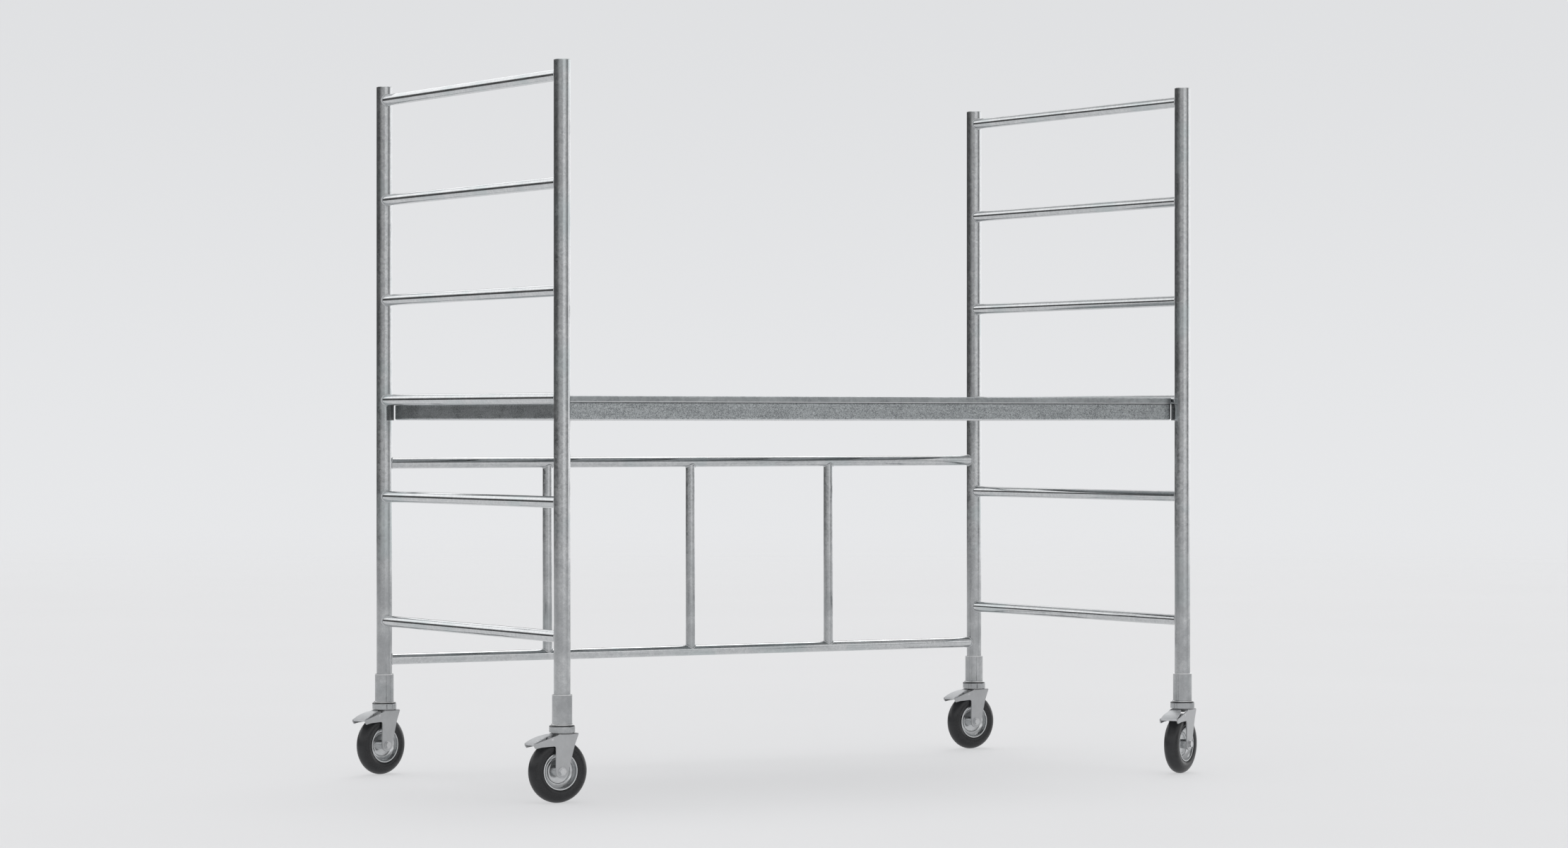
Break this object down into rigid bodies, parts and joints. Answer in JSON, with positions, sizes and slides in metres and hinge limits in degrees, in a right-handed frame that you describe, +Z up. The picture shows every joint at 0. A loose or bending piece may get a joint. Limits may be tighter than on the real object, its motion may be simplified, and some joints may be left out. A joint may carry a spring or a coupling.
{
  "type": "baker scaffold",
  "caption": "Rolling baker scaffold with ladder end frames, a rear side panel, a folded steel deck and braked swivel casters.",
  "frame": {"origin": "on the floor, under the middle of the bay of four uprights; the casters at their rest headings put the middle of the whole box about 14 mm off it, to the left and to the front", "axes": "+X along the bay from the left to the right ladder frame, +Y towards the side with the panel, +Z up"},
  "size_m": [1.9539, 1.1058, 1.768],
  "materials": {
    "galvanised_tube": "hot-dip galvanised, mottled, faint lengthwise banding",
    "deck_galvanised_sheet": "galvanised sheet, fine grain, matt",
    "socket_steel": "galvanised, satin",
    "pressed_caster_steel": "zinc-plated pressing, satin",
    "wheel_rim_steel": "galvanised pressing, spangled",
    "fastener_steel": "zinc plated",
    "bearing_steel": "greased steel",
    "tyre_rubber": "smooth solid rubber, soft sheen"
  },
  "bodies": {
    "frame": {"front_left_upright": "galvanised_tube", "rear_left_upright": "galvanised_tube", "rear_right_upright": "galvanised_tube", "front_right_upright": "galvanised_tube", "left_rung_1": "galvanised_tube", "left_rung_2": "galvanised_tube", "left_rung_3": "galvanised_tube", "left_rung_4": "galvanised_tube", "left_rung_5": "galvanised_tube", "left_rung_6": "galvanised_tube", "right_rung_1": "galvanised_tube", "right_rung_2": "galvanised_tube", "right_rung_3": "galvanised_tube", "right_rung_4": "galvanised_tube", "right_rung_5": "galvanised_tube", "right_rung_6": "galvanised_tube", "deck_gussets": "galvanised_tube", "rear_top_rail": "galvanised_tube", "rear_bottom_rail": "galvanised_tube", "rear_posts": "galvanised_tube", "front_left_socket": "socket_steel", "rear_left_socket": "socket_steel", "rear_right_socket": "socket_steel", "front_right_socket": "socket_steel", "kingpins": "fastener_steel", "deck_sheet": "deck_galvanised_sheet", "deck_front_rail": "deck_galvanised_sheet", "deck_rear_rail": "deck_galvanised_sheet", "deck_left_end": "deck_galvanised_sheet", "deck_right_end": "deck_galvanised_sheet", "deck_bearers": "deck_galvanised_sheet", "deck_bolts": "fastener_steel"},
    "front_left_caster": {"front_left_fork": "pressed_caster_steel", "front_left_swivel_bearing": "bearing_steel", "front_left_axle": "fastener_steel", "front_left_pedal_pin": "fastener_steel"},
    "front_left_wheel": {"front_left_tyre": "tyre_rubber", "front_left_rim": "wheel_rim_steel"},
    "front_left_pedal": {"front_left_brake_pedal": "pressed_caster_steel"},
    "rear_left_caster": {"rear_left_fork": "pressed_caster_steel", "rear_left_swivel_bearing": "bearing_steel", "rear_left_axle": "fastener_steel", "rear_left_pedal_pin": "fastener_steel"},
    "rear_left_wheel": {"rear_left_tyre": "tyre_rubber", "rear_left_rim": "wheel_rim_steel"},
    "rear_left_pedal": {"rear_left_brake_pedal": "pressed_caster_steel"},
    "rear_right_caster": {"rear_right_fork": "pressed_caster_steel", "rear_right_swivel_bearing": "bearing_steel", "rear_right_axle": "fastener_steel", "rear_right_pedal_pin": "fastener_steel"},
    "rear_right_wheel": {"rear_right_tyre": "tyre_rubber", "rear_right_rim": "wheel_rim_steel"},
    "rear_right_pedal": {"rear_right_brake_pedal": "pressed_caster_steel"},
    "front_right_caster": {"front_right_fork": "pressed_caster_steel", "front_right_swivel_bearing": "bearing_steel", "front_right_axle": "fastener_steel", "front_right_pedal_pin": "fastener_steel"},
    "front_right_wheel": {"front_right_tyre": "tyre_rubber", "front_right_rim": "wheel_rim_steel"},
    "front_right_pedal": {"front_right_brake_pedal": "pressed_caster_steel"}
  },
  "joints": [
    {"name": "front_left_swivel", "type": "hinge", "parent": "frame", "child": "front_left_caster", "pos_m": [-0.9, -0.5, 0.166], "axis": [0, 0, 1], "continuous": true},
    {"name": "front_left_wheel_spin", "type": "hinge", "parent": "front_left_caster", "child": "front_left_wheel", "pos_m": [-0.9125, -0.5, 0.076], "axis": [0, -1, 0], "continuous": true},
    {"name": "front_left_brake", "type": "hinge", "parent": "front_left_caster", "child": "front_left_pedal", "pos_m": [-0.938, -0.5, 0.1525], "axis": [0, -1, 0], "range_deg": [0, 8]},
    {"name": "rear_left_swivel", "type": "hinge", "parent": "frame", "child": "rear_left_caster", "pos_m": [-0.9, 0.5, 0.166], "axis": [0, 0, 1], "continuous": true},
    {"name": "rear_left_wheel_spin", "type": "hinge", "parent": "rear_left_caster", "child": "rear_left_wheel", "pos_m": [-0.91195, 0.49634, 0.076], "axis": [0.2924, -0.9563, 0], "continuous": true},
    {"name": "rear_left_brake", "type": "hinge", "parent": "rear_left_caster", "child": "rear_left_pedal", "pos_m": [-0.93634, 0.48889, 0.1525], "axis": [0.2924, -0.9563, 0], "range_deg": [0, 8]},
    {"name": "rear_right_swivel", "type": "hinge", "parent": "frame", "child": "rear_right_caster", "pos_m": [0.9, 0.5, 0.166], "axis": [0, 0, 1], "continuous": true},
    {"name": "rear_right_wheel_spin", "type": "hinge", "parent": "rear_right_caster", "child": "rear_right_wheel", "pos_m": [0.88757, 0.49869, 0.076], "axis": [0.1045, -0.9945, 0], "continuous": true},
    {"name": "rear_right_brake", "type": "hinge", "parent": "rear_right_caster", "child": "rear_right_pedal", "pos_m": [0.86221, 0.49603, 0.1525], "axis": [0.1045, -0.9945, 0], "range_deg": [0, 8]},
    {"name": "front_right_swivel", "type": "hinge", "parent": "frame", "child": "front_right_caster", "pos_m": [0.9, -0.5, 0.166], "axis": [0, 0, 1], "continuous": true},
    {"name": "front_right_wheel_spin", "type": "hinge", "parent": "front_right_caster", "child": "front_right_wheel", "pos_m": [0.88928, -0.50644, 0.076], "axis": [0.515, -0.8572, 0], "continuous": true},
    {"name": "front_right_brake", "type": "hinge", "parent": "front_right_caster", "child": "front_right_pedal", "pos_m": [0.86743, -0.51957, 0.1525], "axis": [0.515, -0.8572, 0], "range_deg": [0, 8]}
  ]
}
